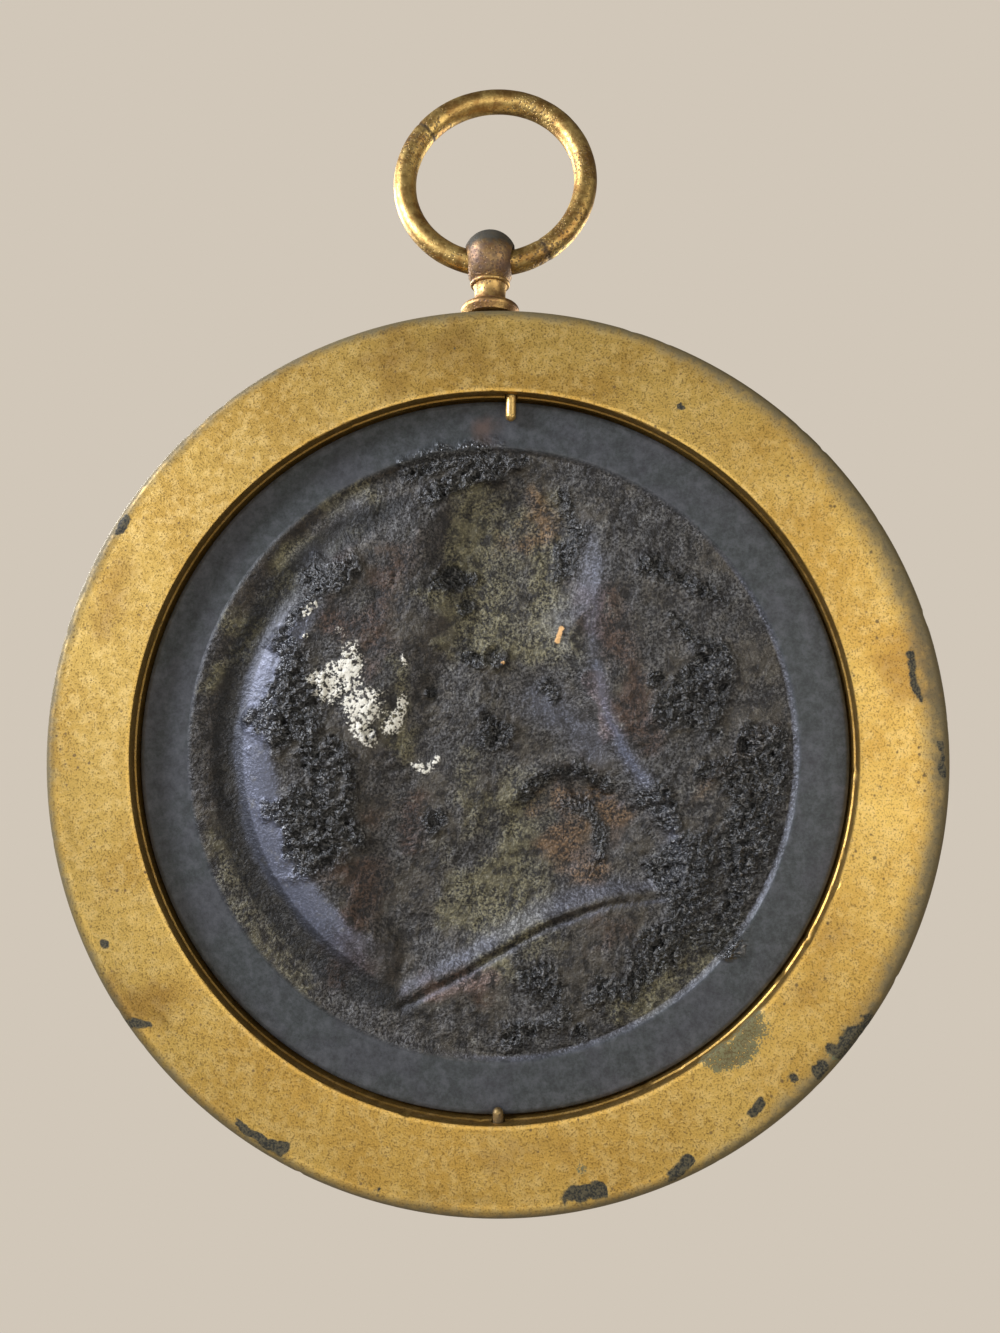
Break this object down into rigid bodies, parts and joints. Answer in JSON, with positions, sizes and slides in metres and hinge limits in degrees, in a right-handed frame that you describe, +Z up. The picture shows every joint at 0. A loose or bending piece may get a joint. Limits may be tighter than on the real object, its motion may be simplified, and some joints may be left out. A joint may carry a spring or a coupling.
{
  "type": "framed relief plaque",
  "caption": "Round cast relief plaque with a hollow-backed portrait bust, pinned in a turned gilt ring frame that hangs from a knob and loose ring.",
  "frame": {"origin": "the inside of the hanging ring at its top, where a hook holds it", "axes": "+Z up along the hanging plaque, +Y out of its back, so the relief faces -Y; +X to the left of the plaque's own front"},
  "size_m": [0.18, 0.0123, 0.2335],
  "materials": {
    "dark_bronze": "dark patina, crusted behind the bust",
    "gilt_bronze": "matte gilding, scratched, dark edges",
    "tarnished_gilt": "brown, gilding worn",
    "worn_gilt": "worn gilding, satin",
    "pin_brass": "dull brass"
  },
  "bodies": {
    "hanger": {"ring": "worn_gilt"},
    "plaque": {"frame": "gilt_bronze", "medallion": "dark_bronze", "knob": "tarnished_gilt", "pin_top": "pin_brass", "pin_bottom": "pin_brass"}
  },
  "joints": [
    {"name": "ring_swing", "type": "hinge", "parent": "hanger", "child": "plaque", "pos_m": [0, 0.00332, -0.03582], "axis": [1, 0, 0], "range_deg": [-130, 140]}
  ]
}
